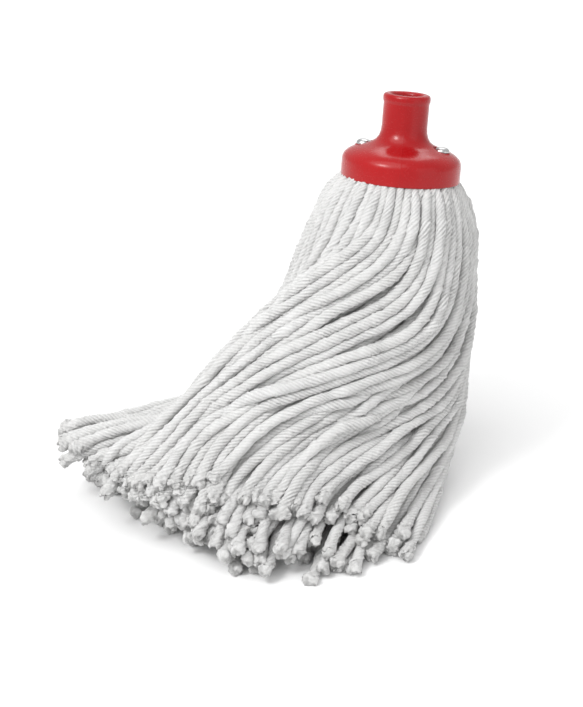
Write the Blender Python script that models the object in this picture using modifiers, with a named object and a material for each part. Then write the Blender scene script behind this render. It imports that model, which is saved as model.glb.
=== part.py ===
"""String mop head standing on its yarn: red moulded socket, two rivets, a clamp bar and cotton yarn.

Lengths in the constants are millimetres and are scaled to metres once, where a mesh is made.
World frame: +Z up, floor at z = 0, the long sweep of the yarn runs towards -X, its cut ends face -Y.
Head frame: origin in the middle of the skirt's lower rim, +Z along the handle.
"""
import math

import bmesh
import bpy
import numpy as np
from mathutils import Euler, Matrix, Vector

MM = 0.001
MERGE_DISTANCE = 0.00001

# Where the head sits and how it leans, in the world frame.
HEAD_AT = (90.2, 55.7, 216.5)
HEAD_LEAN_DEG = (-10.0, 4.2, 0.0)

# Moulding, in the head frame: radius and height of its half section.
BORE_FLOOR_Z = 19.7
BORE_FLOOR_R = 9.8
BORE_MOUTH_R = 10.3
RIM_Z = 57.5
RIM_R = 16.1
SHAFT_R = 15.5
SKIRT_R = 40.6
SKIRT_INNER_R = 38.0
CROWN_UNDER_Z = 17.2
REVOLVE_STEPS = 40

# Rivets, both on one line through the axis, turned about it.
RIVET_RADIUS_FROM_AXIS = 27.0
RIVET_LINE_DEG = -15.0
RIVET_HEAD_R = 5.2
RIVET_HEAD_H = 3.3
RIVET_SHANK_R = 2.3
RIVET_TAIL_R = 4.0
RIVET_TAIL_H = 1.1
RIVET_SEAT_Z = 20.6
RIVET_BOSS_R = 5.9
HOLE_R = 2.7
RIVET_STEPS = 20
CUT_TOP_Z = 30.0

# Clamp bar under the yarn.
BAR_LENGTH = 68.0
BAR_WIDTH = 15.0
BAR_THICK = 1.5
BAR_Z = 3.4
BAR_LIP = 1.2

# Yarn folded across the inside of the flange.
PAD_R = 37.2
PAD_STEPS = 32
PAD_HOLE_STEPS = 14
PAD_BOTTOM_Z = 1.5
BAR_GROOVE_WIDTH = 18.0
BAR_GROOVE_LENGTH = 72.0
BAR_GROOVE_TOP_Z = 5.3
GAP = 0.3

# Yarn locks: each stands for about five strands that lie together.
EXIT_RADIUS = 37.0
EXIT_Z = 1.1
LOCK_RINGS = ((0.165, 0.40, 5, 5), (0.40, 0.655, 10, 5), (0.655, 0.97, 20, 3))
CORE_LOCK = (0.165, 10)
LOCK_STATIONS = 13
LOCK_GAP = 1.0
LOCK_CORNER_PULL = 0.06
LOCK_END_KEEP = 0.8
EXIT_BLEND = 0.07
PATH_SAMPLES = 240

# Paths of the outermost strands by their angle round the head, measured from the point that lies
# PATHS_DROP under the middle of the skirt's rim.
PATHS_DROP = 225.0
OUTER_PATHS = {
    0: ((40, 0, 222), (51, -5, 199), (52, -12, 160), (49, -21, 130), (42, -34, 109), (26, -54, 98),
        (0, -77, 94), (-30, -97, 88), (-57, -113, 79), (-76, -125, 68), (-89, -139, 55)),
    20: ((38, 14, 220), (49, 13, 190), (52, 7, 150), (52, -5, 115), (47, -20, 88), (36, -40, 74),
         (17, -66, 69), (-7, -91, 64), (-29, -112, 56), (-47, -134, 44)),
    40: ((31, 26, 221), (45, 32, 190), (51, 29, 150), (53, 18, 112), (50, -2, 78), (42, -32, 54),
         (28, -66, 43), (11, -101, 35), (-7, -136, 25)),
    60: ((20, 35, 221), (33, 44, 190), (42, 44, 150), (47, 34, 108), (46, 12, 66), (40, -20, 36),
         (30, -58, 19), (18, -96, 12), (8, -132, 9)),
    90: ((0, 40, 220), (8, 54, 190), (15, 58, 148), (20, 56, 102), (20, 49, 58), (13, 30, 22),
         (3, -8, 10), (-8, -56, 9)),
    135: ((-28, 29, 225), (-42, 42, 195), (-56, 50, 155), (-71, 52, 112), (-91, 48, 70), (-117, 38, 35),
          (-150, 18, 14), (-196, -22, 9)),
    160: ((-38, 14, 229), (-53, 20, 204), (-65, 27, 172), (-77, 30, 138), (-92, 30, 106), (-113, 25, 76),
          (-141, 14, 48), (-173, 0, 28), (-228, -32, 13)),
    180: ((-41, 0, 231), (-54, 2, 209), (-67, 5, 177), (-79, 7, 140), (-93, 8, 112), (-111, 7, 90),
          (-136, 2, 66), (-166, -6, 54), (-202, -13, 49), (-239, -20, 44)),
    205: ((-38, -17, 234), (-52, -25, 208), (-64, -32, 178), (-76, -36, 154), (-92, -39, 130),
          (-113, -40, 107), (-136, -40, 82), (-167, -38, 67), (-203, -36, 59), (-242, -38, 50)),
    225: ((-29, -29, 235), (-38, -39, 214), (-49, -47, 190), (-65, -52, 170), (-87, -56, 150),
          (-111, -58, 126), (-136, -59, 98), (-166, -60, 73), (-200, -62, 61), (-234, -64, 47)),
    260: ((-7, -41, 232), (-10, -50, 214), (-19, -56, 200), (-38, -62, 186), (-66, -67, 167),
          (-94, -71, 145), (-118, -74, 119), (-144, -79, 93), (-174, -88, 73), (-210, -98, 50)),
    280: ((7, -40, 231), (6, -50, 212), (2, -57, 198), (-12, -64, 186), (-36, -71, 174), (-66, -77, 159),
          (-94, -82, 141), (-120, -86, 117), (-147, -93, 93), (-171, -104, 74), (-193, -116, 54)),
    300: ((20, -35, 229), (20, -50, 207), (17, -58, 189), (8, -66, 173), (-10, -75, 161), (-38, -84, 151),
          (-69, -91, 139), (-97, -95, 123), (-123, -98, 104), (-149, -107, 84), (-173, -123, 58)),
    320: ((31, -27, 227), (32, -41, 208), (29, -54, 181), (22, -64, 158), (10, -74, 144), (-10, -84, 136),
          (-40, -93, 130), (-72, -98, 122), (-102, -102, 108), (-130, -112, 88), (-152, -131, 60)),
    340: ((38, -14, 224), (45, -25, 200), (45, -37, 168), (39, -48, 144), (28, -60, 129), (8, -74, 120),
          (-22, -89, 115), (-54, -100, 109), (-84, -108, 97), (-110, -118, 80), (-130, -136, 57)),
}
CORE_PATH = ((0, 0, 225), (-2, -8, 190), (-8, -24, 152), (-20, -46, 115), (-38, -70, 78), (-56, -94, 44),
             (-70, -130, 20), (-78, -176, 11))

RED_PLASTIC = (0.52, 0.022, 0.026, 1.0)
STEEL = (0.55, 0.55, 0.56, 1.0)
ZINC_STEEL = (0.45, 0.46, 0.47, 1.0)
COTTON = (0.80, 0.78, 0.74, 1.0)


def clear_scene():
    """Empty the file of objects and of the data they used."""
    for obj in list(bpy.data.objects):
        bpy.data.objects.remove(obj, do_unlink=True)
    for group in list(bpy.data.collections):
        bpy.data.collections.remove(group)
    for mesh in list(bpy.data.meshes):
        bpy.data.meshes.remove(mesh)


def new_collection(name):
    """Make a collection in the scene."""
    group = bpy.data.collections.new(name)
    bpy.context.scene.collection.children.link(group)
    return group


def make_material(name, colour, roughness, metallic=0.0):
    """Make a plain Principled material."""
    mat = bpy.data.materials.new(name)
    mat.use_nodes = True
    shader = mat.node_tree.nodes["Principled BSDF"]
    shader.inputs["Base Color"].default_value = colour
    shader.inputs["Roughness"].default_value = roughness
    shader.inputs["Metallic"].default_value = metallic
    mat.diffuse_color = colour
    return mat


def link_mesh(name, bm, group, mat=None, smooth=False):
    """Turn a bmesh in metres into an object of the group and free it."""
    mesh = bpy.data.meshes.new(name)
    bm.to_mesh(mesh)
    bm.free()
    obj = bpy.data.objects.new(name, mesh)
    group.objects.link(obj)
    if mat is not None:
        mesh.materials.append(mat)
    for poly in mesh.polygons:
        poly.use_smooth = smooth
    return obj


def turned(name, profile, steps, group, mat):
    """Turn a half section about Z. It starts and ends on the axis and runs down its outer side."""
    bm = bmesh.new()
    points = [bm.verts.new((radius * MM, 0.0, z * MM)) for radius, z in profile]
    for one, two in zip(points, points[1:]):
        bm.edges.new((one, two))
    obj = link_mesh(name, bm, group, mat)
    screw = obj.modifiers.new("turn", "SCREW")
    screw.angle = 2.0 * math.pi
    screw.steps = steps
    screw.render_steps = steps
    screw.use_merge_vertices = True
    screw.merge_threshold = MERGE_DISTANCE
    screw.use_smooth_shade = True
    return obj


def cylinder(name, radius, z0, z1, at, group, steps=RIVET_STEPS):
    """Make a plain cylinder, used as a cutter or a boss."""
    bm = bmesh.new()
    bmesh.ops.create_cone(
        bm, cap_ends=True, segments=steps, radius1=radius * MM, radius2=radius * MM, depth=(z1 - z0) * MM,
    )
    obj = link_mesh(name, bm, group)
    obj.location = Vector((at[0], at[1], 0.5 * (z0 + z1))) * MM
    return obj


def box(name, size, centre, turn_deg, group):
    """Make a box turned about the head's axis."""
    bm = bmesh.new()
    bmesh.ops.create_cube(bm, size=1.0)
    bmesh.ops.scale(bm, vec=Vector(size) * MM, verts=bm.verts)
    obj = link_mesh(name, bm, group)
    obj.location = Vector(centre) * MM
    obj.rotation_euler = (0.0, 0.0, math.radians(turn_deg))
    return obj


def apply_boolean(target, tool, operation):
    """Add a Boolean of the exact kind and bake it into the target's mesh."""
    mod = target.modifiers.new(tool.name, "BOOLEAN")
    mod.operation = operation
    mod.solver = "EXACT"
    mod.object = tool
    bpy.context.view_layer.update()
    graph = bpy.context.evaluated_depsgraph_get()
    mesh = bpy.data.meshes.new_from_object(target.evaluated_get(graph))
    target.modifiers.clear()
    old = target.data
    target.data = mesh
    mesh.name = old.name + "_cut"
    bpy.data.meshes.remove(old)


def hide_cutter(obj):
    """Keep a cutter out of renders and show it as wire."""
    obj.hide_render = True
    obj.display_type = "WIRE"


def rivet_places():
    """The two rivet axes in the head frame, left one first."""
    a = math.radians(RIVET_LINE_DEG)
    x = RIVET_RADIUS_FROM_AXIS * math.cos(a)
    y = RIVET_RADIUS_FROM_AXIS * math.sin(a)
    return ((-x, -y), (x, y))


def build_moulding(group, cutters, mat):
    """Red socket, crown and skirt in one moulding, open underneath and up the handle bore."""
    profile = (
        (0.0, BORE_FLOOR_Z), (BORE_FLOOR_R, BORE_FLOOR_Z), (BORE_MOUTH_R, RIM_Z - 3.0),
        (BORE_MOUTH_R + 0.8, RIM_Z - 1.0), (BORE_MOUTH_R + 2.4, RIM_Z), (RIM_R - 2.2, RIM_Z),
        (RIM_R - 0.7, RIM_Z - 0.8), (RIM_R, RIM_Z - 2.4), (RIM_R - 0.1, RIM_Z - 4.2),
        (SHAFT_R, RIM_Z - 5.8), (SHAFT_R, 36.0), (15.8, 32.0), (16.8, 28.5), (18.6, 25.8), (21.5, 23.8),
        (25.5, 22.2), (30.0, 20.8), (34.0, 19.2), (37.0, 17.4), (39.2, 15.4), (40.3, 13.2),
        (SKIRT_R, 11.0), (SKIRT_R, 1.1), (SKIRT_R - 0.3, 0.3), (SKIRT_R - 1.0, 0.0),
        (SKIRT_INNER_R + 0.4, 0.0), (SKIRT_INNER_R, 0.6), (SKIRT_INNER_R, 10.8), (36.8, 12.6),
        (32.0, 15.1), (26.5, 16.8), (24.0, CROWN_UNDER_Z), (0.0, CROWN_UNDER_Z),
    )
    body = turned("head_moulding", profile, REVOLVE_STEPS, group, mat)
    for side, at in zip(("left", "right"), rivet_places()):
        boss = cylinder("boss_" + side, RIVET_BOSS_R, CROWN_UNDER_Z + 1.0, RIVET_SEAT_Z, at, cutters)
        face = cylinder("seat_" + side, RIVET_BOSS_R, RIVET_SEAT_Z, CUT_TOP_Z, at, cutters)
        hole = cylinder("hole_" + side, HOLE_R, 0.0, CUT_TOP_Z, at, cutters)
        apply_boolean(body, boss, "UNION")
        apply_boolean(body, face, "DIFFERENCE")
        apply_boolean(body, hole, "DIFFERENCE")
    return body


def build_rivets(group, mat):
    """Domed steel rivets, clinched under the clamp bar."""
    rivets = []
    top = RIVET_SEAT_Z + GAP
    tail_top = BAR_Z - GAP
    profile = (
        (0.0, top + RIVET_HEAD_H), (RIVET_HEAD_R * 0.42, top + 3.1), (RIVET_HEAD_R * 0.74, top + 2.5),
        (RIVET_HEAD_R * 0.93, top + 1.5), (RIVET_HEAD_R, top + 0.5), (RIVET_HEAD_R, top),
        (RIVET_SHANK_R, top), (RIVET_SHANK_R, tail_top), (RIVET_TAIL_R, tail_top),
        (RIVET_TAIL_R, tail_top - 0.5), (RIVET_TAIL_R - 0.6, tail_top - RIVET_TAIL_H),
        (0.0, tail_top - RIVET_TAIL_H),
    )
    for side, at in zip(("left", "right"), rivet_places()):
        rivet = turned("rivet_" + side, profile, RIVET_STEPS, group, mat)
        rivet.location = Vector((at[0], at[1], 0.0)) * MM
        rivets.append(rivet)
    return rivets


def build_clamp_bar(group, cutters, mat):
    """Steel strap with its long edges turned down, holed for the rivets."""
    half = BAR_WIDTH / 2.0
    section = (
        (-half, BAR_Z - BAR_LIP), (-half + BAR_THICK, BAR_Z - BAR_LIP), (-half + BAR_THICK + 0.6, BAR_Z),
        (half - BAR_THICK - 0.6, BAR_Z), (half - BAR_THICK, BAR_Z - BAR_LIP), (half, BAR_Z - BAR_LIP),
        (half, BAR_Z + 0.6), (half - 0.9, BAR_Z + BAR_THICK), (-half + 0.9, BAR_Z + BAR_THICK),
        (-half, BAR_Z + 0.6),
    )
    bm = bmesh.new()
    corners = [bm.verts.new(Vector((-BAR_LENGTH / 2.0, y, z)) * MM) for y, z in section]
    grown = bmesh.ops.extrude_face_region(bm, geom=[bm.faces.new(corners)])
    ends = [item for item in grown["geom"] if isinstance(item, bmesh.types.BMVert)]
    bmesh.ops.translate(bm, vec=Vector((BAR_LENGTH * MM, 0.0, 0.0)), verts=ends)
    bmesh.ops.recalc_face_normals(bm, faces=bm.faces)
    bar = link_mesh("clamp_bar", bm, group, mat)
    bar.rotation_euler = (0.0, 0.0, math.radians(RIVET_LINE_DEG))
    for side, at in zip(("left", "right"), rivet_places()):
        hole = cylinder("bar_hole_" + side, HOLE_R, 0.0, CUT_TOP_Z, at, cutters)
        apply_boolean(bar, hole, "DIFFERENCE")
    return bar


def build_fold_pad(group, cutters, mat):
    """The middle of the yarn, pressed into the crown and held by the clamp bar."""
    profile = (
        (0.0, CROWN_UNDER_Z - GAP), (23.5, CROWN_UNDER_Z - GAP - 0.3), (26.0, 16.2), (31.6, 14.4),
        (36.0, 12.0), (PAD_R, 10.0), (PAD_R, PAD_BOTTOM_Z + 1.5), (PAD_R - 1.5, PAD_BOTTOM_Z),
        (0.0, PAD_BOTTOM_Z),
    )
    pad = turned("yarn_fold_pad", profile, PAD_STEPS, group, mat)
    size = (BAR_GROOVE_LENGTH, BAR_GROOVE_WIDTH, 2.0 * BAR_GROOVE_TOP_Z)
    groove = box("bar_groove", size, (0.0, 0.0, 0.0), RIVET_LINE_DEG, cutters)
    apply_boolean(pad, groove, "DIFFERENCE")
    for side, at in zip(("left", "right"), rivet_places()):
        hole = cylinder("pad_hole_" + side, HOLE_R, 0.0, CUT_TOP_Z, at, cutters, PAD_HOLE_STEPS)
        apply_boolean(pad, hole, "DIFFERENCE")
    return pad


def head_matrix():
    """Head frame to world frame, in millimetres."""
    turn = Euler([math.radians(d) for d in HEAD_LEAN_DEG]).to_matrix().to_4x4()
    return Matrix.Translation(Vector(HEAD_AT)) @ turn


def smooth_curve(points, params, wanted):
    """Cubic curve through points at the given parameters, sampled where wanted."""
    points = np.asarray(points, float)
    params = np.asarray(params, float)
    slopes = np.gradient(points, params, axis=0)
    k = np.clip(np.searchsorted(params, wanted, side="right") - 1, 0, len(params) - 2)
    h = (params[k + 1] - params[k])[:, None]
    t = ((wanted - params[k])[:, None]) / h
    start = (2 * t**3 - 3 * t**2 + 1) * points[k] + (t**3 - 2 * t**2 + t) * h * slopes[k]
    end = (3 * t**2 - 2 * t**3) * points[k + 1] + (t**3 - t**2) * h * slopes[k + 1]
    return start + end


def even_path(points, count):
    """A strand path resampled at even steps along its length."""
    points = np.asarray(points, float)
    chord = np.concatenate(([0.0], np.cumsum(np.linalg.norm(np.diff(points, axis=0), axis=1))))
    fine = smooth_curve(points, chord, np.linspace(0.0, chord[-1], PATH_SAMPLES))
    run = np.concatenate(([0.0], np.cumsum(np.linalg.norm(np.diff(fine, axis=0), axis=1))))
    at = np.linspace(0.0, run[-1], count)
    return np.stack([np.interp(at, run, fine[:, c]) for c in range(3)], axis=1)


class YarnFlow:
    """Where yarn that leaves the head at a place in its opening lies further along its length."""

    def __init__(self, stations):
        """Lay the guide paths out at the given number of even stations."""
        angles = sorted(OUTER_PATHS)
        rings = [even_path(OUTER_PATHS[a], stations) for a in angles]
        wrap = [a - 360 for a in angles] + angles + [a + 360 for a in angles]
        self.angles = np.array(wrap, float)
        self.rings = np.array(rings * 3)
        self.core = even_path(CORE_PATH, stations)
        self.share = np.linspace(0.0, 1.0, stations)
        self.frame = head_matrix()
        self.shift = np.array(HEAD_AT) - (0.0, 0.0, PATHS_DROP)

    def path(self, radius, angle_deg):
        """Path in the world frame of the yarn that leaves at a share of the radius and an angle."""
        angle = angle_deg % 360.0
        flat = self.rings.reshape(len(self.angles), -1)
        ring = smooth_curve(flat, self.angles, np.array([angle])).reshape(-1, 3)
        path = self.core + (ring - self.core) * radius + self.shift
        a = math.radians(angle)
        out = EXIT_RADIUS * radius
        exit_at = self.frame @ Vector((out * math.cos(a), out * math.sin(a), EXIT_Z))
        fade = np.clip(1.0 - self.share / EXIT_BLEND, 0.0, 1.0)[:, None] ** 2
        return path + (np.array(exit_at) - path[0]) * fade


def core_outline():
    """Outline of the middle lock's share of the opening: radius, angle, is it a corner."""
    radius, sides = CORE_LOCK
    return [(radius, 360.0 * k / sides, False) for k in range(sides)]


def lock_outline(inner, outer, first, last, outer_points):
    """Outline of one lock's share of a ring of the opening: radius, angle, is it a corner."""
    mean = 0.5 * (inner + outer)
    outside = np.linspace(first, last, outer_points)
    inside = np.linspace(last, first, 3)
    outline = [(outer, a, a in (first, last)) for a in outside]
    outline.append((mean, last, False))
    outline += [(inner, a, a in (first, last)) for a in inside]
    outline.append((mean, first, False))
    return outline


def lock_mesh(name, outline, flow, group, mat):
    """Loft one closed lock through its stations, pulled in from its neighbours all round."""
    paths = np.array([flow.path(r, a) for r, a, _ in outline])
    corner = np.array([LOCK_CORNER_PULL if c else 0.0 for _, _, c in outline])
    sides = len(outline)
    verts = []
    for k in range(LOCK_STATIONS):
        ring = paths[:, k]
        middle = ring.mean(axis=0)
        arm = ring - middle
        length = np.linalg.norm(arm, axis=1)
        keep = 1.0 - LOCK_GAP / length - corner
        if k == LOCK_STATIONS - 1:
            keep *= LOCK_END_KEEP
        ring = middle + arm * keep[:, None]
        ring[:, 2] = np.maximum(ring[:, 2], 0.0)
        verts += [tuple(p) for p in ring]
    last = sides * (LOCK_STATIONS - 1)
    faces = [tuple(range(sides)), tuple(range(last + sides - 1, last - 1, -1))]
    for k in range(LOCK_STATIONS - 1):
        for j in range(sides):
            n = (j + 1) % sides
            a, b = k * sides + j, k * sides + n
            c, d = b + sides, a + sides
            if np.linalg.norm(paths[j, k] - paths[n, k + 1]) < np.linalg.norm(paths[n, k] - paths[j, k + 1]):
                faces += [(a, b, c), (a, c, d)]
            else:
                faces += [(a, b, d), (b, c, d)]
    bm = bmesh.new()
    points = [bm.verts.new(Vector(v) * MM) for v in verts]
    for face in faces:
        bm.faces.new([points[k] for k in face])
    bmesh.ops.recalc_face_normals(bm, faces=bm.faces)
    return link_mesh(name, bm, group, mat, smooth=True)


def build_locks(group, mat):
    """All the yarn below the head, as soft locks side by side."""
    flow = YarnFlow(LOCK_STATIONS)
    lock_mesh("yarn_lock_01", core_outline(), flow, group, mat)
    number = 1
    for inner, outer, count, outer_points in LOCK_RINGS:
        step = 360.0 / count
        for k in range(count):
            number += 1
            outline = lock_outline(inner, outer, k * step, (k + 1) * step, outer_points)
            lock_mesh("yarn_lock_%02d" % number, outline, flow, group, mat)


def main():
    """Build every piece and stand the head on its yarn."""
    clear_scene()
    group = new_collection("string_mop")
    cutters = new_collection("cutters")
    red = make_material("red_plastic", RED_PLASTIC, 0.25)
    steel = make_material("rivet_steel", STEEL, 0.3, 1.0)
    zinc = make_material("bar_steel", ZINC_STEEL, 0.4, 1.0)
    cotton = make_material("cotton_yarn", COTTON, 0.95)
    head = build_moulding(group, cutters, red)
    parts = [build_clamp_bar(group, cutters, zinc), build_fold_pad(group, cutters, cotton)]
    parts += build_rivets(group, steel)
    for part in parts:
        part.parent = head
    for cutter in cutters.objects:
        hide_cutter(cutter)
        cutter.parent = head
    head.location = Vector(HEAD_AT) * MM
    head.rotation_euler = [math.radians(d) for d in HEAD_LEAN_DEG]
    build_locks(group, cotton)


main()
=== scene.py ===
"""String mop head: looks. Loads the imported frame, lays the cotton strands and dresses every piece."""
import math

import bmesh
import bpy
import numpy as np
from mathutils import Euler, Matrix, Vector
from mathutils.kdtree import KDTree


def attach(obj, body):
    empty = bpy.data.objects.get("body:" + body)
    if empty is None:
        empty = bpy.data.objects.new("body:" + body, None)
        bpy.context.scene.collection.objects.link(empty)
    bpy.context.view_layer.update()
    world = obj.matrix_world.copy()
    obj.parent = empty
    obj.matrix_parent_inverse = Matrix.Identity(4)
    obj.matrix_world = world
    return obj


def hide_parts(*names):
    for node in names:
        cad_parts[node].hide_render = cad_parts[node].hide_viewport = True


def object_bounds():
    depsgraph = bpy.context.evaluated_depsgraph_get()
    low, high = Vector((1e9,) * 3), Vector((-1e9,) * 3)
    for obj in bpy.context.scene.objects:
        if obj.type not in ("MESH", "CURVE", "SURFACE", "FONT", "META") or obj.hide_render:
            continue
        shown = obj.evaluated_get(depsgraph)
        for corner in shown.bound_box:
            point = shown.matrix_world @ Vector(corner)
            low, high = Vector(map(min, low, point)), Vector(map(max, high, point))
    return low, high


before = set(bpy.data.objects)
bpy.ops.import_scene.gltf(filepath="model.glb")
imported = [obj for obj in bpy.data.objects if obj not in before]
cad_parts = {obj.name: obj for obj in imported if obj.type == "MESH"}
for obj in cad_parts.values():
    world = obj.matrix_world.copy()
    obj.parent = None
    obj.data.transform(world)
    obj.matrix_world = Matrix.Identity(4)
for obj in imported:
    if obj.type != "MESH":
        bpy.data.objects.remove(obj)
CAD_LOW, CAD_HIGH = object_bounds()

MM = 0.001

# The head in the world, as in the CAD: the middle of the skirt's lower rim and the lean.
HEAD_AT = (90.2, 55.7, 216.5)
HEAD_LEAN_DEG = (-10.0, 4.2, 0.0)

# The moulding and the rivets, in the head frame.
BORE_FLOOR_Z = 19.7
BORE_FLOOR_R = 9.8
BORE_MOUTH_R = 10.3
RIM_Z = 57.5
RIM_R = 16.1
SHAFT_R = 15.5
SKIRT_R = 40.6
SKIRT_INNER_R = 38.0
CROWN_UNDER_Z = 17.2
MOULDING_STEPS = 144
RIVET_LINE_DEG = -15.0
RIVET_FROM_AXIS = 27.0
RIVET_SEAT_Z = 20.6
RIVET_GAP = 0.3
RIVET_STEPS = 56
BOSS_R = 5.9
SEAT_CLEARANCE = 0.06
HOLE_R = 2.7
CUT_TOP_Z = 30.0
PARTING_LINE_DEG = 265.0

# Yarn.
STRAND_R = 3.7
EXIT_STRAND_R = 2.6
EXIT_RADIUS = 37.0
EXIT_Z = 3.0
FRAY_LENGTH = 19.0
TIP_LENGTH = 4.0
WIDEST_END = 6.0
EXIT_BLEND = 0.07
SIM_POINTS = 58
STRAND_RINGS = ((0.955, 50), (0.80, 46), (0.645, 38), (0.49, 30), (0.33, 20), (0.16, 10))
PLIES = 7
LAY = 21.0
CORDS_DECLARED = 40
OUTER_MESH = (380, 28)
INNER_MESH = (240, 18)
FOLD_MESH = (60, 24)
STRAND_SEED = 41
FOLD_SEED = 7
PATH_SAMPLES = 240

# Settling: the share of each correction taken in a round, and lengths in millimetres.
SETTLE_ROUNDS = 90
PAIRS_EVERY = 4
AIM_PULL = 0.08
SAG = 0.10
CONTACT_REACH = 1.5
CONTACT_SHARE = 0.97
PUSH = 0.42
MOST_PUSH = 2.0
BEND = 0.14
ROOM_PAST_CAD = 6.0

# Camera and lights, in metres and watts: name, place, size, power.
CAMERA_RISE_DEG = 25.0
CAMERA_BACK = 1.3
CAMERA_LENS = 97.3
CAMERA_LEFT_OF_HEAD = 0.0738
CAMERA_BELOW_HEAD = 0.1193
SKY_POWER = 1.25
SKY_SPREAD_DEG = 60.0
WORLD_STRENGTH = 0.7
FLOOR_HALF = 6000.0
AREA_LIGHTS = (
    ("key", (-0.9, -0.9, 1.5), 0.45, 13.0),
    ("fill", (1.3, -1.0, 0.7), 1.2, 2.0),
    ("rim", (0.3, 1.3, 1.4), 0.9, 6.0),
)

PATHS_DROP = 225.0
OUTER_PATHS = {
    0: ((40, 0, 222), (51, -5, 199), (52, -12, 160), (49, -21, 130), (42, -34, 109), (26, -54, 98),
        (0, -77, 94), (-30, -97, 88), (-57, -113, 79), (-76, -125, 68), (-89, -139, 55)),
    20: ((38, 14, 220), (49, 13, 190), (52, 7, 150), (52, -5, 115), (47, -20, 88), (36, -40, 74),
         (17, -66, 69), (-7, -91, 64), (-29, -112, 56), (-47, -134, 44)),
    40: ((31, 26, 221), (45, 32, 190), (51, 29, 150), (53, 18, 112), (50, -2, 78), (42, -32, 54),
         (28, -66, 43), (11, -101, 35), (-7, -136, 25)),
    60: ((20, 35, 221), (33, 44, 190), (42, 44, 150), (47, 34, 108), (46, 12, 66), (40, -20, 36),
         (30, -58, 19), (18, -96, 12), (8, -132, 9)),
    90: ((0, 40, 220), (8, 54, 190), (15, 58, 148), (20, 56, 102), (20, 49, 58), (13, 30, 22),
         (3, -8, 10), (-8, -56, 9)),
    135: ((-28, 29, 225), (-42, 42, 195), (-56, 50, 155), (-71, 52, 112), (-91, 48, 70), (-117, 38, 35),
          (-150, 18, 14), (-196, -22, 9)),
    160: ((-38, 14, 229), (-53, 20, 204), (-65, 27, 172), (-77, 30, 138), (-92, 30, 106), (-113, 25, 76),
          (-141, 14, 48), (-173, 0, 28), (-228, -32, 13)),
    180: ((-41, 0, 231), (-54, 2, 209), (-67, 5, 177), (-79, 7, 140), (-93, 8, 112), (-111, 7, 90),
          (-136, 2, 66), (-166, -6, 54), (-202, -13, 49), (-239, -20, 44)),
    205: ((-38, -17, 234), (-52, -25, 208), (-64, -32, 178), (-76, -36, 154), (-92, -39, 130),
          (-113, -40, 107), (-136, -40, 82), (-167, -38, 67), (-203, -36, 59), (-242, -38, 50)),
    225: ((-29, -29, 235), (-38, -39, 214), (-49, -47, 190), (-65, -52, 170), (-87, -56, 150),
          (-111, -58, 126), (-136, -59, 98), (-166, -60, 73), (-200, -62, 61), (-234, -64, 47)),
    260: ((-7, -41, 232), (-10, -50, 214), (-19, -56, 200), (-38, -62, 186), (-66, -67, 167),
          (-94, -71, 145), (-118, -74, 119), (-144, -79, 93), (-174, -88, 73), (-210, -98, 50)),
    280: ((7, -40, 231), (6, -50, 212), (2, -57, 198), (-12, -64, 186), (-36, -71, 174), (-66, -77, 159),
          (-94, -82, 141), (-120, -86, 117), (-147, -93, 93), (-171, -104, 74), (-193, -116, 54)),
    300: ((20, -35, 229), (20, -50, 207), (17, -58, 189), (8, -66, 173), (-10, -75, 161), (-38, -84, 151),
          (-69, -91, 139), (-97, -95, 123), (-123, -98, 104), (-149, -107, 84), (-173, -123, 58)),
    320: ((31, -27, 227), (32, -41, 208), (29, -54, 181), (22, -64, 158), (10, -74, 144), (-10, -84, 136),
          (-40, -93, 130), (-72, -98, 122), (-102, -102, 108), (-130, -112, 88), (-152, -131, 60)),
    340: ((38, -14, 224), (45, -25, 200), (45, -37, 168), (39, -48, 144), (28, -60, 129), (8, -74, 120),
          (-22, -89, 115), (-54, -100, 109), (-84, -108, 97), (-110, -118, 80), (-130, -136, 57)),
}
CORE_PATH = ((0, 0, 225), (-2, -8, 190), (-8, -24, 152), (-20, -46, 115), (-38, -70, 78), (-56, -94, 44),
             (-70, -130, 20), (-78, -176, 11))


# ---------------------------------------------------------------- shared helpers

def head_matrix():
    """Head frame to world frame, in millimetres."""
    turn = Euler([math.radians(d) for d in HEAD_LEAN_DEG]).to_matrix().to_4x4()
    return Matrix.Translation(Vector(HEAD_AT)) @ turn


HEAD = np.array(head_matrix())


def to_world(points):
    """Head-frame points to the world frame, in millimetres."""
    points = np.asarray(points, float)
    return points @ HEAD[:3, :3].T + HEAD[:3, 3]


def smooth_curve(points, params, wanted):
    """Cubic curve through points at the given parameters, sampled where wanted."""
    points = np.asarray(points, float)
    params = np.asarray(params, float)
    slopes = np.gradient(points, params, axis=0)
    k = np.clip(np.searchsorted(params, wanted, side="right") - 1, 0, len(params) - 2)
    h = (params[k + 1] - params[k])[:, None]
    t = ((wanted - params[k])[:, None]) / h
    start = (2 * t**3 - 3 * t**2 + 1) * points[k] + (t**3 - 2 * t**2 + t) * h * slopes[k]
    end = (3 * t**2 - 2 * t**3) * points[k + 1] + (t**3 - t**2) * h * slopes[k + 1]
    return start + end


def run_length(points):
    """Distance along a line of points, from its first one."""
    return np.concatenate(([0.0], np.cumsum(np.linalg.norm(np.diff(points, axis=0), axis=1))))


def even_path(points, count, stretch=1.0):
    """A path resampled at even steps, run on past its end by the stretch if that is over 1."""
    points = np.asarray(points, float)
    chord = run_length(points)
    fine = smooth_curve(points, chord, np.linspace(0.0, chord[-1], PATH_SAMPLES))
    run = run_length(fine)
    at = np.linspace(0.0, run[-1] * stretch, count)
    path = np.stack([np.interp(at, run, fine[:, c]) for c in range(3)], axis=1)
    over = np.maximum(at - run[-1], 0.0)[:, None]
    way = fine[-1] - fine[-12]
    way[2] = min(way[2], 0.0) * 0.5
    return path + over * way / np.linalg.norm(way)


def new_object(name, mesh):
    """Link a mesh as an object that rides on the one body."""
    obj = bpy.data.objects.new(name, mesh)
    bpy.context.scene.collection.objects.link(obj)
    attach(obj, "root")
    return obj


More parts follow.
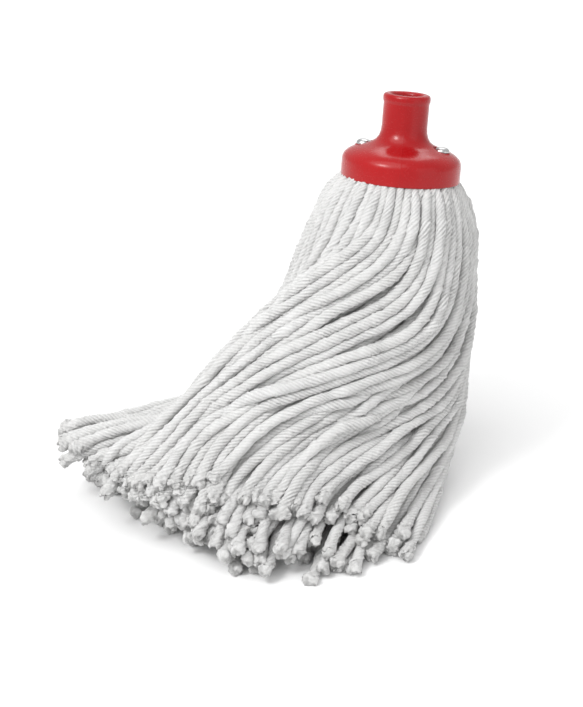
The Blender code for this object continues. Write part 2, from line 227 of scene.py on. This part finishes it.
def grid_mesh(name, verts, quads, tris=(), smooth=True):
    """Mesh from a numpy vertex array in millimetres, quads and a few triangles."""
    mesh = bpy.data.meshes.new(name)
    quads = np.asarray(quads, np.int32).reshape(-1, 4)
    tris = np.asarray(tris, np.int32).reshape(-1, 3)
    loops = np.concatenate((quads.ravel(), tris.ravel()))
    sizes = np.concatenate((np.full(len(quads), 4), np.full(len(tris), 3)))
    starts = np.concatenate(([0], np.cumsum(sizes)[:-1]))
    mesh.vertices.add(len(verts))
    mesh.vertices.foreach_set("co", (np.asarray(verts, np.float32) * MM).ravel())
    mesh.loops.add(len(loops))
    mesh.loops.foreach_set("vertex_index", loops.astype(np.int32))
    mesh.polygons.add(len(sizes))
    mesh.polygons.foreach_set("loop_start", starts.astype(np.int32))
    mesh.polygons.foreach_set("use_smooth", np.full(len(sizes), smooth))
    mesh.update(calc_edges=True)
    mesh.validate()
    return mesh


def face_outwards(mesh):
    """Turn every face of a closed mesh to face out."""
    bm = bmesh.new()
    bm.from_mesh(mesh)
    bmesh.ops.recalc_face_normals(bm, faces=bm.faces)
    bm.to_mesh(mesh)
    bm.free()


def add_float(mesh, name, values):
    """Store one number per vertex for the material to read."""
    layer = mesh.attributes.new(name, "FLOAT", "POINT")
    layer.data.foreach_set("value", np.asarray(values, np.float32))


# ---------------------------------------------------------------- materials

class Nodes:
    """Short names for building a node material."""

    def __init__(self, name):
        """Make the material with an empty tree, a Principled shader and an output."""
        self.mat = bpy.data.materials.new(name)
        self.mat.use_nodes = True
        self.tree = self.mat.node_tree
        self.tree.nodes.clear()
        self.out = self.tree.nodes.new("ShaderNodeOutputMaterial")
        self.shader = self.tree.nodes.new("ShaderNodeBsdfPrincipled")
        self.tree.links.new(self.shader.outputs[0], self.out.inputs[0])

    def node(self, kind, inputs=None, **settings):
        """Add a node, set its properties, and set or link its inputs."""
        node = self.tree.nodes.new(kind)
        for key, value in settings.items():
            setattr(node, key, value)
        for key, value in (inputs or {}).items():
            self.feed(node.inputs[key], value)
        return node

    def feed(self, socket, value):
        """Link a node's socket or set a constant."""
        if isinstance(value, bpy.types.NodeSocket):
            self.tree.links.new(value, socket)
        else:
            socket.default_value = value

    def math(self, operation, a, b=0.0):
        """A Math node's result."""
        return self.node("ShaderNodeMath", {0: a, 1: b}, operation=operation).outputs[0]

    def attribute(self, name):
        """A number stored on the mesh."""
        return self.node("ShaderNodeAttribute", attribute_name=name).outputs["Fac"]

    def coords(self):
        """Object coordinates, in metres."""
        return self.node("ShaderNodeTexCoord").outputs["Object"]

    def noise(self, vector, scale, detail=3.0, rough=0.55):
        """A noise value between 0 and 1."""
        inputs = {"Vector": vector, "Scale": scale, "Detail": detail, "Roughness": rough}
        return self.node("ShaderNodeTexNoise", inputs).outputs["Fac"]

    def ramp(self, value, stops):
        """A colour ramp through (position, colour) stops."""
        node = self.node("ShaderNodeValToRGB", {"Fac": value})
        ramp = node.color_ramp
        while len(ramp.elements) < len(stops):
            ramp.elements.new(0.5)
        for element, (place, colour) in zip(ramp.elements, stops):
            element.position = place
            element.color = colour
        return node.outputs["Color"]

    def mix(self, fac, a, b):
        """Mix two colours."""
        node = self.node("ShaderNodeMix", data_type="RGBA", blend_type="MIX")
        self.feed(node.inputs[0], fac)
        self.feed(node.inputs[6], a)
        self.feed(node.inputs[7], b)
        return node.outputs[2]

    def span(self, value, low, high, to_low, to_high):
        """Map a value's range onto another."""
        inputs = {"Value": value, "From Min": low, "From Max": high, "To Min": to_low, "To Max": to_high}
        return self.node("ShaderNodeMapRange", inputs).outputs[0]

    def bump(self, height, strength, distance, normal=None):
        """A bump from a height, on top of another normal if one is given."""
        inputs = {"Height": height, "Strength": strength, "Distance": distance}
        if normal is not None:
            inputs["Normal"] = normal
        return self.node("ShaderNodeBump", inputs).outputs[0]


def grey(value):
    """An opaque grey."""
    return (value, value, value, 1.0)


def yarn_material():
    """Soft white cotton: painted shade in the valleys between the plies and on the frayed ends, fine
    twisted fibres, slight yellowing.
    """
    n = Nodes("cotton_yarn_look")
    along = n.attribute("along")
    around = n.attribute("around")
    valley = n.attribute("valley")
    fray = n.attribute("fray")
    tone = n.attribute("tone")
    place = n.coords()
    diag = n.math("ADD", along, around)
    cross = n.math("SUBTRACT", along, around)
    fibre_at = n.node("ShaderNodeCombineXYZ", {0: n.math("MULTIPLY", diag, 0.22), 1: cross, 2: tone})
    fibres = n.noise(fibre_at.outputs[0], 2.6, 3.0, 0.65)
    fuzz = n.noise(place, 900.0, 2.0, 0.6)
    drift = n.noise(place, 22.0, 3.0, 0.5)
    base = n.ramp(drift, ((0.30, (0.83, 0.829, 0.825, 1.0)), (0.72, (0.91, 0.909, 0.905, 1.0))))
    base = n.mix(n.span(tone, 0.0, 1.0, 0.0, 0.35), base, (0.80, 0.796, 0.78, 1.0))
    # Painted shade in the valleys between the plies.
    base = n.mix(n.math("MULTIPLY", valley, 0.48), base, (0.30, 0.297, 0.29, 1.0))
    base = n.mix(n.span(fibres, 0.38, 0.66, 0.34, 0.0), base, (0.34, 0.338, 0.33, 1.0))
    # Painted shade on the frayed, cut ends: they are darkened towards grey.
    base = n.mix(n.math("MULTIPLY", fray, 0.30), base, (0.50, 0.498, 0.49, 1.0))
    n.feed(n.shader.inputs["Base Color"], base)
    n.feed(n.shader.inputs["Roughness"], n.span(fuzz, 0.3, 0.7, 0.88, 1.0))
    n.shader.inputs["Specular IOR Level"].default_value = 0.15
    n.shader.inputs["Sheen Weight"].default_value = 0.25
    n.shader.inputs["Sheen Roughness"].default_value = 0.6
    first = n.bump(fibres, 0.8, 0.0007)
    n.feed(n.shader.inputs["Normal"], n.bump(fuzz, 0.6, 0.0005, first))
    return n.mat


def plastic_material():
    """Glossy red moulded plastic with faint flow lines, scuffs and an uneven gloss."""
    n = Nodes("red_plastic_look")
    place = n.coords()
    broad = n.noise(place, 35.0, 3.0, 0.5)
    scuff = n.noise(place, 420.0, 4.0, 0.7)
    wave = n.noise(place, 70.0, 2.0, 0.5)
    turn = n.attribute("turn")
    seam = n.math("ABSOLUTE", n.math("SUBTRACT", turn, PARTING_LINE_DEG))
    seam = n.span(seam, 0.0, 1.1, 1.0, 0.0)
    base = n.ramp(broad, ((0.3, (0.325, 0.004, 0.006, 1.0)), (0.7, (0.375, 0.006, 0.008, 1.0))))
    base = n.mix(n.span(scuff, 0.66, 0.8, 0.0, 0.12), base, (0.42, 0.03, 0.03, 1.0))
    base = n.mix(n.math("MULTIPLY", seam, 0.25), base, (0.30, 0.005, 0.007, 1.0))
    n.feed(n.shader.inputs["Base Color"], base)
    n.feed(n.shader.inputs["Roughness"], n.span(scuff, 0.35, 0.8, 0.17, 0.36))
    n.shader.inputs["IOR"].default_value = 1.49
    n.shader.inputs["Specular IOR Level"].default_value = 0.36
    first = n.bump(wave, 0.12, 0.0006)
    second = n.bump(scuff, 0.04, 0.0002, first)
    n.feed(n.shader.inputs["Normal"], n.bump(seam, 0.25, 0.0003, second))
    return n.mat


def steel_material(name, bright, rough):
    """Plated steel with small dents and dull patches."""
    n = Nodes(name)
    place = n.coords()
    patch = n.noise(place, 260.0, 3.0, 0.6)
    fine = n.noise(place, 2400.0, 2.0, 0.6)
    base = n.ramp(patch, ((0.3, grey(bright * 0.86)), (0.7, grey(bright))))
    n.feed(n.shader.inputs["Base Color"], base)
    n.shader.inputs["Metallic"].default_value = 1.0
    n.feed(n.shader.inputs["Roughness"], n.span(patch, 0.3, 0.75, rough, rough + 0.16))
    first = n.bump(patch, 0.10, 0.0003)
    n.feed(n.shader.inputs["Normal"], n.bump(fine, 0.05, 0.0001, first))
    return n.mat


def floor_material():
    """Plain pale paper floor."""
    n = Nodes("floor_paper")
    soft = n.noise(n.coords(), 3.0, 2.0, 0.5)
    n.feed(n.shader.inputs["Base Color"], n.ramp(soft, ((0.3, grey(0.93)), (0.7, grey(0.95)))))
    n.shader.inputs["Roughness"].default_value = 0.9
    n.shader.inputs["Specular IOR Level"].default_value = 0.1
    return n.mat


# ---------------------------------------------------------------- the head's hard parts

def revolve(profile, steps):
    """Turn a half section that starts and ends on the axis into a closed mesh, in the head frame."""
    verts = []
    quads = []
    tris = []
    rings = []
    for radius, z in profile:
        first = len(verts)
        count = 1 if radius < 1e-6 else steps
        for k in range(count):
            a = 2.0 * math.pi * k / steps
            verts.append((radius * math.cos(a), radius * math.sin(a), z))
        rings.append([first + k % count for k in range(steps)])
    for one, two in zip(rings, rings[1:]):
        for k in range(steps):
            n = (k + 1) % steps
            if one[k] == one[n]:
                tris.append((one[k], two[n], two[k]))
            elif two[k] == two[n]:
                tris.append((one[k], one[n], two[k]))
            else:
                quads.append((one[k], one[n], two[n], two[k]))
    return verts, quads, tris


def rounded(profile, steps=4):
    """Round every corner of a half section that carries a radius as its third number."""
    result = []
    for k, point in enumerate(profile):
        here = np.array(point[:2], float)
        if len(point) < 3:
            result.append(tuple(here))
            continue
        before = np.array(profile[k - 1][:2], float)
        after = np.array(profile[k + 1][:2], float)
        size = point[2]
        start = here + (before - here) * min(1.0, size / np.linalg.norm(before - here))
        end = here + (after - here) * min(1.0, size / np.linalg.norm(after - here))
        for t in np.linspace(0.0, 1.0, steps):
            result.append(tuple((1 - t) ** 2 * start + 2 * t * (1 - t) * here + t**2 * end))
    return result


def rivet_places():
    """The two rivet axes in the head frame, left one first."""
    a = math.radians(RIVET_LINE_DEG)
    x = RIVET_FROM_AXIS * math.cos(a)
    y = RIVET_FROM_AXIS * math.sin(a)
    return ((-x, -y), (x, y))


def boolean(target, tool, operation):
    """Apply one exact Boolean to the target and throw the tool away."""
    mod = target.modifiers.new(tool.name, "BOOLEAN")
    mod.operation = operation
    mod.solver = "EXACT"
    mod.object = tool
    bpy.context.view_layer.update()
    graph = bpy.context.evaluated_depsgraph_get()
    mesh = bpy.data.meshes.new_from_object(target.evaluated_get(graph))
    target.modifiers.clear()
    target.data = mesh
    bpy.data.objects.remove(tool, do_unlink=True)


def turned_tool(name, profile, at, steps=64):
    """A turned solid on one rivet axis in the head frame, used for a Boolean."""
    verts, quads, tris = revolve(profile, steps)
    mesh = grid_mesh(name, np.array(verts) + (at[0], at[1], 0.0), quads, tris)
    face_outwards(mesh)
    obj = bpy.data.objects.new(name, mesh)
    bpy.context.scene.collection.objects.link(obj)
    return obj


def build_moulding(mat):
    """The red moulding with its rounded edges, bosses and rivet seats. It is cut in the head frame and then
    stood in place, and no two faces of the cuts share a plane."""
    profile = rounded((
        (0.0, BORE_FLOOR_Z), (BORE_FLOOR_R, BORE_FLOOR_Z, 0.6), (BORE_MOUTH_R, RIM_Z - 4.0),
        (BORE_MOUTH_R, RIM_Z, 2.8), (RIM_R, RIM_Z, 2.8), (RIM_R, RIM_Z - 4.5, 0.8),
        (SHAFT_R, RIM_Z - 6.1, 0.8), (SHAFT_R, 36.0), (15.8, 32.0), (16.8, 28.5), (18.6, 25.8),
        (21.5, 23.8), (25.5, 22.2), (30.0, 20.8), (34.0, 19.2), (37.0, 17.4), (39.2, 15.4), (40.3, 13.2),
        (SKIRT_R, 11.0), (SKIRT_R, 6.0), (SKIRT_R, 0.0, 1.0), (SKIRT_INNER_R, 0.0, 0.6),
        (SKIRT_INNER_R, 11.6, 1.2), (32.0, 15.1), (26.5, 16.8, 1.0), (24.0, CROWN_UNDER_Z, 1.0),
        (0.0, CROWN_UNDER_Z),
    ), 7)
    verts, quads, tris = revolve(profile, MOULDING_STEPS)
    mesh = grid_mesh("head_moulding_look", verts, quads, tris)
    face_outwards(mesh)
    obj = new_object("head_moulding_look", mesh)
    boss_foot = CROWN_UNDER_Z + 1.0
    boss_profile = rounded((
        (0, boss_foot), (BOSS_R, boss_foot), (BOSS_R, RIVET_SEAT_Z, 0.5), (0, RIVET_SEAT_Z),
    ))
    seat_z = RIVET_SEAT_Z + SEAT_CLEARANCE
    seat_profile = ((0, seat_z), (BOSS_R + 0.15, seat_z), (BOSS_R + 0.85, CUT_TOP_Z), (0, CUT_TOP_Z))
    hole_profile = ((0, -5.0), (HOLE_R, -5.0), (HOLE_R, CUT_TOP_Z + 1.0), (0, CUT_TOP_Z + 1.0))
    for side, at in zip(("left", "right"), rivet_places()):
        boss = turned_tool("boss_" + side, boss_profile, at)
        seat = turned_tool("seat_" + side, seat_profile, at)
        hole = turned_tool("hole_" + side, hole_profile, at)
        boolean(obj, boss, "UNION")
        boolean(obj, seat, "DIFFERENCE")
        boolean(obj, hole, "DIFFERENCE")
    mesh = obj.data
    mesh.materials.clear()
    mesh.materials.append(mat)
    add_float(mesh, "turn", [math.degrees(math.atan2(v.co.y, v.co.x)) % 360.0 for v in mesh.vertices])
    mesh.transform(Matrix.Scale(MM, 4) @ head_matrix() @ Matrix.Scale(1.0 / MM, 4))
    mesh.set_sharp_from_angle(angle=math.radians(40.0))
    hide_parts("head_moulding")
    return obj


def build_rivet(side, at, mat):
    """One domed rivet with a thin rolled edge, its shank and its clinched tail."""
    top = RIVET_SEAT_Z + RIVET_GAP
    profile = rounded((
        (0.0, 2.0), (1.2, 2.1), (1.8, 2.9, 0.3), (3.2, 2.2, 0.5), (4.0, 2.7, 0.4), (4.0, 3.3),
        (2.3, 3.3), (2.3, top), (5.2, top, 0.15), (5.25, top + 0.7, 0.35), (4.85, top + 1.6),
        (4.2, top + 2.3), (3.3, top + 2.85), (2.1, top + 3.2), (1.0, top + 3.3), (0.0, top + 3.3),
    ))
    verts, quads, tris = revolve(profile, RIVET_STEPS)
    verts = to_world(np.array(verts) + (at[0], at[1], 0.0))
    mesh = grid_mesh("rivet_%s_look" % side, verts, quads, tris)
    mesh.materials.append(mat)
    mesh.set_sharp_from_angle(angle=math.radians(50.0))
    obj = new_object("rivet_%s_look" % side, mesh)
    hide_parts("rivet_" + side)
    return obj


# ---------------------------------------------------------------- where the strands lie

class YarnFlow:
    """Where yarn that leaves the head at a place in its opening lies further along its length."""

    def __init__(self, stations):
        """Lay the guide paths out at the given number of even stations."""
        angles = sorted(OUTER_PATHS)
        rings = [even_path(OUTER_PATHS[a], stations) for a in angles]
        wrap = [a - 360 for a in angles] + angles + [a + 360 for a in angles]
        self.angles = np.array(wrap, float)
        self.rings = np.array(rings * 3).reshape(len(wrap), -1)
        self.core = even_path(CORE_PATH, stations)
        self.share = np.linspace(0.0, 1.0, stations)
        self.shift = np.array(HEAD_AT) - (0.0, 0.0, PATHS_DROP)

    def path(self, radius, angle_deg):
        """Path in the world frame of the strand that leaves at a share of the radius and an angle.
        Further from the head the strands crowd towards the outside of the heap."""
        angle = angle_deg % 360.0
        ring = smooth_curve(self.rings, self.angles, np.array([angle])).reshape(-1, 3)
        crowded = np.interp(self.share, (0.0, 0.5, 0.75, 1.0), (0.0, 1.0, 0.9, 0.3))
        power = 1.0 - 0.45 * crowded
        path = self.core + (ring - self.core) * (radius**power)[:, None] + self.shift
        a = math.radians(angle)
        out = EXIT_RADIUS * radius
        exit_at = to_world([(out * math.cos(a), out * math.sin(a), EXIT_Z)])[0]
        fade = np.clip(1.0 - self.share / EXIT_BLEND, 0.0, 1.0)[:, None] ** 2
        return path + (exit_at - path[0]) * fade


def lay_out(rng):
    """Aim of every strand: exit ring, points along it and its own small wander."""
    flow = YarnFlow(90)
    aims = []
    rank = []
    for ring, (radius, count) in enumerate(STRAND_RINGS):
        for k in range(count):
            angle = 360.0 * (k + 0.5 * (ring % 2)) / count + rng.normal(0.0, 1.2)
            path = flow.path(radius, angle)
            stretch = rng.uniform(0.955, 1.02) + 0.035 * ring / len(STRAND_RINGS)
            aims.append(even_path(path[::3].tolist() + [path[-1].tolist()], SIM_POINTS, stretch))
            rank.append((ring, angle))
    aims = np.array(aims)
    share = np.linspace(0.0, 1.0, SIM_POINTS)[None, :, None]
    count = len(aims)
    for waves, size in ((1.2, 3.2), (2.6, 2.0), (5.0, 0.8)):
        phase = rng.uniform(0.0, 2.0 * math.pi, (count, 1, 3))
        reach = rng.normal(0.0, size, (count, 1, 3))
        aims = aims + reach * np.sin(2.0 * math.pi * waves * share + phase) * share**0.8
    return aims, rank


def radius_along(run):
    """Strand radius at a distance from the head: pressed thin where it leaves the crown."""
    return EXIT_STRAND_R + (STRAND_R - EXIT_STRAND_R) * np.clip(run / 28.0, 0.0, 1.0) ** 0.7


def close_pairs(points, reach, strand, index):
    """Pairs of points of different strands, or far apart on one, that lie within reach."""
    tree = KDTree(len(points))
    for k, p in enumerate(points):
        tree.insert(p, k)
    tree.balance()
    first = []
    second = []
    for k, p in enumerate(points):
        for _, j, _ in tree.find_range(p, reach):
            if j > k and (strand[j] != strand[k] or index[j] - index[k] > 3):
                first.append(k)
                second.append(j)
    return np.array(first), np.array(second)


def push_apart(flat, pairs, radius):
    """Move strands that press into each other apart, no further than MOST_PUSH at a time."""
    gap = flat[pairs[1]] - flat[pairs[0]]
    dist = np.linalg.norm(gap, axis=1) + 1e-6
    want = (radius[pairs[0]] + radius[pairs[1]]) * CONTACT_SHARE
    push = np.maximum(want - dist, 0.0) * PUSH / dist
    move = gap * push[:, None]
    shift = np.zeros_like(flat)
    np.add.at(shift, pairs[0], -move)
    np.add.at(shift, pairs[1], move)
    size = np.linalg.norm(shift, axis=1, keepdims=True)
    shift *= np.minimum(1.0, MOST_PUSH / np.maximum(size, 1e-6))
    return flat + shift


def keep_steps(points, step):
    """Bring neighbouring points on each strand back to their own distance, even ones and then odd."""
    for odd in (0, 1):
        a = points[:, odd:-1:2]
        b = points[:, odd + 1::2]
        n = min(a.shape[1], b.shape[1])
        a = a[:, :n]
        b = b[:, :n]
        gap = b - a
        dist = np.linalg.norm(gap, axis=2, keepdims=True)
        fix = gap * (0.5 * (dist - step[:, None, None]) / dist)
        a += fix
        b -= fix


def settle(aims, rounds):
    """Push the strands apart, keep their length and let them lie on each other and the floor."""
    count, length, _ = aims.shape
    points = aims.copy()
    step = np.linalg.norm(np.diff(aims, axis=1), axis=2).mean(axis=1)
    radius = radius_along(step[:, None] * np.arange(length)[None, :])
    strand = np.repeat(np.arange(count), length)
    index = np.tile(np.arange(length), count)
    low = np.array(CAD_LOW) / MM - ROOM_PAST_CAD
    high = np.array(CAD_HIGH) / MM + ROOM_PAST_CAD
    for turn in range(rounds):
        points += AIM_PULL * (aims - points)
        points[:, 6:, 2] -= SAG
        if turn % PAIRS_EVERY == 0:
            pairs = close_pairs(points.reshape(-1, 3), 2.0 * STRAND_R + CONTACT_REACH, strand, index)
        points = push_apart(points.reshape(-1, 3), pairs, radius.ravel()).reshape(points.shape)
        middle = 0.5 * (points[:, :-2] + points[:, 2:])
        points[:, 1:-1] += BEND * (middle - points[:, 1:-1])
        for _ in range(3):
            keep_steps(points, step)
        points[:, :2] = aims[:, :2]
        points[:, :, 2] = np.maximum(points[:, :, 2], radius * 0.96)
        points = np.clip(points, low, high)
    for _ in range(4):
        points[:, 2:-1] = 0.25 * points[:, 1:-2] + 0.5 * points[:, 2:-1] + 0.25 * points[:, 3:]
    return points


# ---------------------------------------------------------------- strand geometry

def frames_along(line):
    """Tangent and two turning-free side directions at each point of a line."""
    tangent = np.gradient(line, axis=0)
    tangent /= np.linalg.norm(tangent, axis=1, keepdims=True)
    side = np.zeros_like(line)
    start = np.cross(tangent[0], (0.0, 1.0, 0.0))
    side[0] = start / np.linalg.norm(start)
    for k in range(1, len(line)):
        s = side[k - 1] - tangent[k] * np.dot(side[k - 1], tangent[k])
        side[k] = s / np.linalg.norm(s)
    return tangent, side, np.cross(tangent, side)


def strand_centre(line, rings):
    """A strand's middle line at even steps, eased twice."""
    coarse = run_length(line)
    fine = smooth_curve(line, coarse, np.linspace(0.0, coarse[-1], rings))
    for _ in range(2):
        fine[1:-1] = 0.25 * fine[:-2] + 0.5 * fine[1:-1] + 0.25 * fine[2:]
    return fine


def along_noise(run, draws):
    """Random values spread evenly along a strand, read at each of its rings."""
    return np.interp(run, np.linspace(0, run[-1], len(draws)), draws)[:, None]


def strand_skin(run, theta, rng):
    """Radius and lengthwise offset all over a strand, and the values that its material reads."""
    total = run[-1]
    along = run[:, None]
    rings = len(run)
    sides = theta.shape[1]
    start = rng.uniform(0.0, 2.0 * math.pi)
    slack = along_noise(run, rng.normal(0.0, 0.30, 34))
    valley_depth = along_noise(run, rng.uniform(0.45, 1.25, 26))
    phase = theta - 2.0 * math.pi * along / LAY + start + slack
    wave = 0.5 + 0.5 * np.cos(PLIES * phase)
    valley = (1.0 - wave) ** 2.2
    fray = np.clip((along - (total - FRAY_LENGTH)) / FRAY_LENGTH, 0.0, 1.0) ** 1.3
    ply = (np.floor((PLIES * phase / (2.0 * math.pi) + 0.5)) % PLIES).astype(int)
    open_by = rng.uniform(0.14, 0.44, PLIES)[ply]
    late = rng.uniform(-2.6, 1.6, PLIES)[ply]
    lumps = along_noise(run, rng.normal(0.0, 0.055, 40))
    ridge = rng.normal(0.0, 0.07, PLIES)[ply]
    nap = rng.normal(0.0, 1.0, (rings, sides)) * (0.04 + 0.13 * fray)
    tufts = rng.normal(0.0, 0.20, (rings // 4 + 1, sides // 3 + 1))
    tufts = tufts.repeat(4, axis=0)[:rings].repeat(3, axis=1)[:, :sides]
    tip = np.clip((along - (total - TIP_LENGTH)) / TIP_LENGTH, 0.0, 1.0)
    body = radius_along(run)[:, None] * (1.0 + lumps)
    depth = 0.25 * valley_depth - 0.08 * fray
    radius = body * (1.0 - depth * valley + ridge * wave + nap + fray * (open_by + tufts))
    radius = np.minimum(radius, WIDEST_END) * np.sqrt(1.0 - 0.72 * tip**2)
    # valley weights the material's painted shade in the ply grooves, and fray weights its painted shade on
    # the cut ends.
    skin = {
        "along": along + 0.0 * theta,
        "around": phase * STRAND_R,
        "valley": valley * valley_depth,
        "fray": fray + 0.0 * theta,
    }
    return radius, fray * late, skin


def strand_faces(rings, sides):
    """Quads along a tube of rings, and the triangles that close its ends on two last points."""
    k = np.arange(rings - 1)[:, None] * sides
    j = np.arange(sides)[None, :]
    n = (j + 1) % sides
    quads = np.stack((k + j, k + n, k + sides + n, k + sides + j), axis=-1).reshape(-1, 4)
    j = np.arange(sides)
    n = (j + 1) % sides
    last = (rings - 1) * sides
    head_tris = np.stack((n, j, np.full(sides, rings * sides)), axis=1)
    tail_tris = np.stack((last + j, last + n, np.full(sides, rings * sides + 1)), axis=1)
    return quads, np.concatenate((head_tris, tail_tris))


def strand_shape(line, rings, sides, rng):
    """Vertices, faces and surface values of one twisted strand with an opened, cut end."""
    fine = strand_centre(line, rings)
    run = run_length(fine)
    tangent, side, other = frames_along(fine)
    theta = np.linspace(0.0, 2.0 * math.pi, sides, endpoint=False)[None, :]
    radius, offset, skin = strand_skin(run, theta, rng)
    verts = fine[:, None, :] + radius[:, :, None] * (
        np.cos(theta)[:, :, None] * side[:, None, :] + np.sin(theta)[:, :, None] * other[:, None, :])
    verts = verts + offset[:, :, None] * tangent[:, None, :]
    flat = verts.reshape(-1, 3)
    flat[:, 2] = np.maximum(flat[:, 2], 0.05)
    tail_cap = fine[-1] - tangent[-1] * 1.5
    tail_cap[2] = max(tail_cap[2], 1.0)
    flat = np.concatenate((flat, [fine[0], tail_cap]))
    quads, tris = strand_faces(rings, sides)
    caps = {"along": (0.0, run[-1]), "around": (0.0, 0.0), "valley": (1.0, 1.0), "fray": (0.0, 1.0)}
    values = {key: np.append(skin[key].ravel(), caps[key]) for key in caps}
    values["tone"] = np.full(rings * sides + 2, rng.uniform(0.0, 1.0))
    return flat, quads, tris, values


def strands_object(name, shapes, mat):
    """One object out of one or more strand shapes."""
    base = 0
    verts = []
    quads = []
    tris = []
    for shape in shapes:
        verts.append(shape[0])
        quads.append(shape[1] + base)
        tris.append(shape[2] + base)
        base += len(shape[0])
    mesh = grid_mesh(name, np.concatenate(verts), np.concatenate(quads), np.concatenate(tris))
    for key in shapes[0][3]:
        add_float(mesh, key, np.concatenate([s[3][key] for s in shapes]))
    mesh.materials.append(mat)
    obj = new_object(name, mesh)
    return obj


def build_strands(mat):
    """Lay, settle and skin every strand; the outer-ring strands that spread furthest each get an object of
    their own.
    """
    rng = np.random.default_rng(STRAND_SEED)
    aims, rank = lay_out(rng)
    lines = settle(aims, SETTLE_ROUNDS)
    locks = sorted(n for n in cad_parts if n.startswith("yarn_lock"))
    middle = lines.mean(axis=(0, 1))
    spread = np.linalg.norm((lines[:, -1] - middle)[:, :2], axis=1)
    outer = [k for k in range(len(lines)) if rank[k][0] == 0]
    outer.sort(key=lambda k: -spread[k])
    declared = sorted(outer[:CORDS_DECLARED])
    groups = {}
    for k, line in enumerate(lines):
        ring, angle = rank[k]
        rings, sides = OUTER_MESH if ring < 2 else INNER_MESH
        shape = strand_shape(line, rings, sides, rng)
        if k in declared:
            name = "yarn_strand_%02d" % (declared.index(k) + 1)
            obj = strands_object(name, [shape], mat)
            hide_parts(locks[declared.index(k) % len(locks)])
        else:
            groups.setdefault((ring, int(angle % 360.0 // 60)), []).append(shape)
    for number, key in enumerate(sorted(groups)):
        obj = strands_object("yarn_layer_%02d" % (number + 1), groups[key], mat)
        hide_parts(locks[number % len(locks)])


def build_folds(mat):
    """The strands' middles, laid side by side across the crown above the clamp bar."""
    rng = np.random.default_rng(FOLD_SEED)
    a = math.radians(RIVET_LINE_DEG)
    shapes = []
    for z, reach in ((8.2, 34.5), (13.4, 27.5)):
        for x in (-31.4, -20.2, -13.6, -6.8, 0.0, 6.8, 13.6, 20.2, 31.4):
            if abs(x) > reach - 3.0:
                continue
            half = math.sqrt(reach**2 - x**2)
            y = np.linspace(-half, half, 14)
            drop = 5.0 * np.clip((np.abs(y) - half + 6.0) / 6.0, 0.0, 1.0) ** 2
            turned_x = x * math.cos(a) - y * math.sin(a)
            turned_y = x * math.sin(a) + y * math.cos(a)
            line = np.stack((turned_x, turned_y, z - drop), axis=1)
            shapes.append(strand_shape(to_world(line), *FOLD_MESH, rng))
    obj = strands_object("yarn_folds", shapes, mat)
    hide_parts("yarn_fold_pad")


# ---------------------------------------------------------------- floor, light, camera

def link(obj):
    """Put an object that isn't part of the mop in the scene."""
    bpy.context.scene.collection.objects.link(obj)


def build_floor():
    """Wide pale floor."""
    size = FLOOR_HALF
    verts = [(-size, -size, 0.0), (size, -size, 0.0), (size, size, 0.0), (-size, size, 0.0)]
    mesh = grid_mesh("floor", verts, [(0, 1, 2, 3)], smooth=False)
    mesh.materials.append(floor_material())
    floor = bpy.data.objects.new("floor", mesh)
    link(floor)


def build_lights():
    """White surroundings, three soft lamps and a wide overhead sky."""
    world = bpy.data.worlds.new("studio")
    world.use_nodes = True
    world.node_tree.nodes["Background"].inputs["Color"].default_value = grey(1.0)
    world.node_tree.nodes["Background"].inputs["Strength"].default_value = WORLD_STRENGTH
    bpy.context.scene.world = world
    for name, place, size, power in AREA_LIGHTS:
        light = bpy.data.lights.new(name, "AREA")
        light.size = size
        light.energy = power
        obj = bpy.data.objects.new(name, light)
        obj.location = place
        aim = Vector((0.0, 0.0, 0.12)) - Vector(place)
        obj.rotation_euler = aim.to_track_quat("-Z", "Y").to_euler()
        link(obj)
    sky = bpy.data.lights.new("sky", "SUN")
    sky.energy = SKY_POWER
    sky.angle = math.radians(SKY_SPREAD_DEG)
    obj = bpy.data.objects.new("sky", sky)
    obj.rotation_euler = Vector((0.45, 0.5, -1.0)).to_track_quat("-Z", "Y").to_euler()
    link(obj)


def build_camera():
    """The camera, looking down at a point to the left of the head and below it."""
    camera = bpy.data.cameras.new("camera")
    camera.sensor_fit = "VERTICAL"
    camera.sensor_height = 36.0
    camera.lens = CAMERA_LENS
    camera.clip_end = 50.0
    obj = bpy.data.objects.new("camera", camera)
    rise = math.radians(CAMERA_RISE_DEG)
    back = Vector((0.0, -math.cos(rise), math.sin(rise)))
    up = Vector((0.0, math.sin(rise), math.cos(rise)))
    target = Vector(HEAD_AT) * MM + Vector((-CAMERA_LEFT_OF_HEAD, 0.0, 0.0)) - up * CAMERA_BELOW_HEAD
    obj.location = target + back * CAMERA_BACK
    obj.rotation_euler = (-back).to_track_quat("-Z", "Y").to_euler()
    link(obj)
    bpy.context.scene.camera = obj
    bpy.context.scene.view_settings.view_transform = "Standard"


def main():
    """Dress the frame."""
    cotton = yarn_material()
    red = plastic_material()
    rivet = steel_material("rivet_steel_look", 0.60, 0.22)
    zinc = steel_material("bar_steel_look", 0.55, 0.34)
    build_moulding(red)
    for side, at in zip(("left", "right"), rivet_places()):
        build_rivet(side, at, rivet)
    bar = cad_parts["clamp_bar"]
    for spot in bar.material_slots:
        spot.material = zinc
    build_folds(cotton)
    build_strands(cotton)
    build_floor()
    build_lights()
    build_camera()


main()
